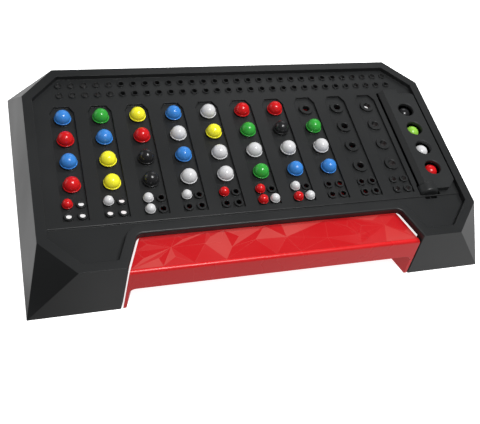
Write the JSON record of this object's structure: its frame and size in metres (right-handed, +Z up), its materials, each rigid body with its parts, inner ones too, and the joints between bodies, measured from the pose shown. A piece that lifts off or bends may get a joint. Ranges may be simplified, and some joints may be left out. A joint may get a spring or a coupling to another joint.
{
  "type": "code breaking peg game",
  "caption": "Board game console with splayed walls: columns of domed code pegs and small key pegs, a hinged shield over the secret row and a drawer with an arch in front.",
  "frame": {"origin": "middle of the base rectangle, on the surface that the game stands on", "axes": "+X along the columns of play, towards the secret row; +Y away from the player; +Z up"},
  "size_m": [0.253, 0.142, 0.0349],
  "materials": {
    "housing_black": "fine grain, satin",
    "shield_black": "fine grain, satin",
    "pin_steel": "blackened drawn wire",
    "drawer_red": "smooth, semi-gloss",
    "label_film": "printed facets under gloss",
    "peg_blue": "polished",
    "peg_red": "polished",
    "peg_yellow": "polished",
    "peg_green": "polished",
    "peg_light_green": "polished",
    "peg_white": "polished",
    "peg_black": "polished",
    "peg_amber": "polished",
    "peg_light_blue": "polished",
    "key_red": "polished",
    "key_white": "polished"
  },
  "bodies": {
    "housing": {"top_housing": "housing_black", "shield_hinge_pin_back": "pin_steel", "shield_hinge_pin_front": "pin_steel"},
    "shield": {"code_shield": "shield_black"},
    "drawer": {"storage_drawer": "drawer_red", "drawer_label": "label_film", "spare_peg_red": "peg_red", "spare_peg_light_green": "peg_light_green", "spare_peg_amber": "peg_amber", "spare_peg_light_blue": "peg_light_blue"},
    "code_peg_1_1_body": {"code_peg_1_1": "peg_blue"},
    "code_peg_1_2_body": {"code_peg_1_2": "peg_red"},
    "code_peg_1_3_body": {"code_peg_1_3": "peg_blue"},
    "code_peg_1_4_body": {"code_peg_1_4": "peg_red"},
    "code_peg_2_1_body": {"code_peg_2_1": "peg_green"},
    "code_peg_2_2_body": {"code_peg_2_2": "peg_blue"},
    "code_peg_2_3_body": {"code_peg_2_3": "peg_yellow"},
    "code_peg_2_4_body": {"code_peg_2_4": "peg_yellow"},
    "code_peg_3_1_body": {"code_peg_3_1": "peg_yellow"},
    "code_peg_3_2_body": {"code_peg_3_2": "peg_red"},
    "code_peg_3_3_body": {"code_peg_3_3": "peg_black"},
    "code_peg_3_4_body": {"code_peg_3_4": "peg_black"},
    "code_peg_4_1_body": {"code_peg_4_1": "peg_blue"},
    "code_peg_4_2_body": {"code_peg_4_2": "peg_white"},
    "code_peg_4_3_body": {"code_peg_4_3": "peg_blue"},
    "code_peg_4_4_body": {"code_peg_4_4": "peg_white"},
    "code_peg_5_1_body": {"code_peg_5_1": "peg_white"},
    "code_peg_5_2_body": {"code_peg_5_2": "peg_yellow"},
    "code_peg_5_3_body": {"code_peg_5_3": "peg_white"},
    "code_peg_5_4_body": {"code_peg_5_4": "peg_white"},
    "code_peg_6_1_body": {"code_peg_6_1": "peg_red"},
    "code_peg_6_2_body": {"code_peg_6_2": "peg_green"},
    "code_peg_6_3_body": {"code_peg_6_3": "peg_white"},
    "code_peg_6_4_body": {"code_peg_6_4": "peg_green"},
    "code_peg_7_1_body": {"code_peg_7_1": "peg_red"},
    "code_peg_7_2_body": {"code_peg_7_2": "peg_black"},
    "code_peg_7_3_body": {"code_peg_7_3": "peg_white"},
    "code_peg_7_4_body": {"code_peg_7_4": "peg_blue"},
    "code_peg_8_2_body": {"code_peg_8_2": "peg_green"},
    "code_peg_8_3_body": {"code_peg_8_3": "peg_white"},
    "code_peg_8_4_body": {"code_peg_8_4": "peg_blue"},
    "key_peg_1_1_body": {"key_peg_1_1": "key_red"},
    "key_peg_2_1_body": {"key_peg_2_1": "key_white"},
    "key_peg_3_1_body": {"key_peg_3_1": "key_white"},
    "key_peg_3_3_body": {"key_peg_3_3": "key_white"},
    "key_peg_4_1_body": {"key_peg_4_1": "key_white"},
    "key_peg_5_1_body": {"key_peg_5_1": "key_red"},
    "key_peg_6_1_body": {"key_peg_6_1": "key_red"},
    "key_peg_6_3_body": {"key_peg_6_3": "key_red"},
    "key_peg_6_4_body": {"key_peg_6_4": "key_white"},
    "key_peg_7_1_body": {"key_peg_7_1": "key_white"},
    "key_peg_7_3_body": {"key_peg_7_3": "key_red"},
    "key_peg_7_4_body": {"key_peg_7_4": "key_white"},
    "secret_peg_1_body": {"secret_peg_1": "peg_black"},
    "secret_peg_2_body": {"secret_peg_2": "peg_light_green"},
    "secret_peg_3_body": {"secret_peg_3": "peg_white"},
    "secret_peg_4_body": {"secret_peg_4": "peg_red"}
  },
  "joints": [
    {"name": "shield_hinge", "type": "hinge", "parent": "housing", "child": "shield", "pos_m": [0.0958, 0, 0.0279], "axis": [0, -1, 0], "range_deg": [0, 100]},
    {"name": "drawer_slide", "type": "slide", "parent": "housing", "child": "drawer", "axis": [0, -1, 0], "range_m": [0, 0.07]},
    {"name": "code_peg_1_1_pull", "type": "slide", "parent": "housing", "child": "code_peg_1_1_body", "axis": [0, 0, 1], "range_m": [0, 0.02]},
    {"name": "code_peg_1_2_pull", "type": "slide", "parent": "housing", "child": "code_peg_1_2_body", "axis": [0, 0, 1], "range_m": [0, 0.02]},
    {"name": "code_peg_1_3_pull", "type": "slide", "parent": "housing", "child": "code_peg_1_3_body", "axis": [0, 0, 1], "range_m": [0, 0.02]},
    {"name": "code_peg_1_4_pull", "type": "slide", "parent": "housing", "child": "code_peg_1_4_body", "axis": [0, 0, 1], "range_m": [0, 0.02]},
    {"name": "code_peg_2_1_pull", "type": "slide", "parent": "housing", "child": "code_peg_2_1_body", "axis": [0, 0, 1], "range_m": [0, 0.02]},
    {"name": "code_peg_2_2_pull", "type": "slide", "parent": "housing", "child": "code_peg_2_2_body", "axis": [0, 0, 1], "range_m": [0, 0.02]},
    {"name": "code_peg_2_3_pull", "type": "slide", "parent": "housing", "child": "code_peg_2_3_body", "axis": [0, 0, 1], "range_m": [0, 0.02]},
    {"name": "code_peg_2_4_pull", "type": "slide", "parent": "housing", "child": "code_peg_2_4_body", "axis": [0, 0, 1], "range_m": [0, 0.02]},
    {"name": "code_peg_3_1_pull", "type": "slide", "parent": "housing", "child": "code_peg_3_1_body", "axis": [0, 0, 1], "range_m": [0, 0.02]},
    {"name": "code_peg_3_2_pull", "type": "slide", "parent": "housing", "child": "code_peg_3_2_body", "axis": [0, 0, 1], "range_m": [0, 0.02]},
    {"name": "code_peg_3_3_pull", "type": "slide", "parent": "housing", "child": "code_peg_3_3_body", "axis": [0, 0, 1], "range_m": [0, 0.02]},
    {"name": "code_peg_3_4_pull", "type": "slide", "parent": "housing", "child": "code_peg_3_4_body", "axis": [0, 0, 1], "range_m": [0, 0.02]},
    {"name": "code_peg_4_1_pull", "type": "slide", "parent": "housing", "child": "code_peg_4_1_body", "axis": [0, 0, 1], "range_m": [0, 0.02]},
    {"name": "code_peg_4_2_pull", "type": "slide", "parent": "housing", "child": "code_peg_4_2_body", "axis": [0, 0, 1], "range_m": [0, 0.02]},
    {"name": "code_peg_4_3_pull", "type": "slide", "parent": "housing", "child": "code_peg_4_3_body", "axis": [0, 0, 1], "range_m": [0, 0.02]},
    {"name": "code_peg_4_4_pull", "type": "slide", "parent": "housing", "child": "code_peg_4_4_body", "axis": [0, 0, 1], "range_m": [0, 0.02]},
    {"name": "code_peg_5_1_pull", "type": "slide", "parent": "housing", "child": "code_peg_5_1_body", "axis": [0, 0, 1], "range_m": [0, 0.02]},
    {"name": "code_peg_5_2_pull", "type": "slide", "parent": "housing", "child": "code_peg_5_2_body", "axis": [0, 0, 1], "range_m": [0, 0.02]},
    {"name": "code_peg_5_3_pull", "type": "slide", "parent": "housing", "child": "code_peg_5_3_body", "axis": [0, 0, 1], "range_m": [0, 0.02]},
    {"name": "code_peg_5_4_pull", "type": "slide", "parent": "housing", "child": "code_peg_5_4_body", "axis": [0, 0, 1], "range_m": [0, 0.02]},
    {"name": "code_peg_6_1_pull", "type": "slide", "parent": "housing", "child": "code_peg_6_1_body", "axis": [0, 0, 1], "range_m": [0, 0.02]},
    {"name": "code_peg_6_2_pull", "type": "slide", "parent": "housing", "child": "code_peg_6_2_body", "axis": [0, 0, 1], "range_m": [0, 0.02]},
    {"name": "code_peg_6_3_pull", "type": "slide", "parent": "housing", "child": "code_peg_6_3_body", "axis": [0, 0, 1], "range_m": [0, 0.02]},
    {"name": "code_peg_6_4_pull", "type": "slide", "parent": "housing", "child": "code_peg_6_4_body", "axis": [0, 0, 1], "range_m": [0, 0.02]},
    {"name": "code_peg_7_1_pull", "type": "slide", "parent": "housing", "child": "code_peg_7_1_body", "axis": [0, 0, 1], "range_m": [0, 0.02]},
    {"name": "code_peg_7_2_pull", "type": "slide", "parent": "housing", "child": "code_peg_7_2_body", "axis": [0, 0, 1], "range_m": [0, 0.02]},
    {"name": "code_peg_7_3_pull", "type": "slide", "parent": "housing", "child": "code_peg_7_3_body", "axis": [0, 0, 1], "range_m": [0, 0.02]},
    {"name": "code_peg_7_4_pull", "type": "slide", "parent": "housing", "child": "code_peg_7_4_body", "axis": [0, 0, 1], "range_m": [0, 0.02]},
    {"name": "code_peg_8_2_pull", "type": "slide", "parent": "housing", "child": "code_peg_8_2_body", "axis": [0, 0, 1], "range_m": [0, 0.02]},
    {"name": "code_peg_8_3_pull", "type": "slide", "parent": "housing", "child": "code_peg_8_3_body", "axis": [0, 0, 1], "range_m": [0, 0.02]},
    {"name": "code_peg_8_4_pull", "type": "slide", "parent": "housing", "child": "code_peg_8_4_body", "axis": [0, 0, 1], "range_m": [0, 0.02]},
    {"name": "key_peg_1_1_pull", "type": "slide", "parent": "housing", "child": "key_peg_1_1_body", "axis": [0, 0, 1], "range_m": [0, 0.02]},
    {"name": "key_peg_2_1_pull", "type": "slide", "parent": "housing", "child": "key_peg_2_1_body", "axis": [0, 0, 1], "range_m": [0, 0.02]},
    {"name": "key_peg_3_1_pull", "type": "slide", "parent": "housing", "child": "key_peg_3_1_body", "axis": [0, 0, 1], "range_m": [0, 0.02]},
    {"name": "key_peg_3_3_pull", "type": "slide", "parent": "housing", "child": "key_peg_3_3_body", "axis": [0, 0, 1], "range_m": [0, 0.02]},
    {"name": "key_peg_4_1_pull", "type": "slide", "parent": "housing", "child": "key_peg_4_1_body", "axis": [0, 0, 1], "range_m": [0, 0.02]},
    {"name": "key_peg_5_1_pull", "type": "slide", "parent": "housing", "child": "key_peg_5_1_body", "axis": [0, 0, 1], "range_m": [0, 0.02]},
    {"name": "key_peg_6_1_pull", "type": "slide", "parent": "housing", "child": "key_peg_6_1_body", "axis": [0, 0, 1], "range_m": [0, 0.02]},
    {"name": "key_peg_6_3_pull", "type": "slide", "parent": "housing", "child": "key_peg_6_3_body", "axis": [0, 0, 1], "range_m": [0, 0.02]},
    {"name": "key_peg_6_4_pull", "type": "slide", "parent": "housing", "child": "key_peg_6_4_body", "axis": [0, 0, 1], "range_m": [0, 0.02]},
    {"name": "key_peg_7_1_pull", "type": "slide", "parent": "housing", "child": "key_peg_7_1_body", "axis": [0, 0, 1], "range_m": [0, 0.02]},
    {"name": "key_peg_7_3_pull", "type": "slide", "parent": "housing", "child": "key_peg_7_3_body", "axis": [0, 0, 1], "range_m": [0, 0.02]},
    {"name": "key_peg_7_4_pull", "type": "slide", "parent": "housing", "child": "key_peg_7_4_body", "axis": [0, 0, 1], "range_m": [0, 0.02]},
    {"name": "secret_peg_1_pull", "type": "slide", "parent": "housing", "child": "secret_peg_1_body", "axis": [0, 0, 1], "range_m": [0, 0.02]},
    {"name": "secret_peg_2_pull", "type": "slide", "parent": "housing", "child": "secret_peg_2_body", "axis": [0, 0, 1], "range_m": [0, 0.02]},
    {"name": "secret_peg_3_pull", "type": "slide", "parent": "housing", "child": "secret_peg_3_body", "axis": [0, 0, 1], "range_m": [0, 0.02]},
    {"name": "secret_peg_4_pull", "type": "slide", "parent": "housing", "child": "secret_peg_4_body", "axis": [0, 0, 1], "range_m": [0, 0.02]}
  ]
}
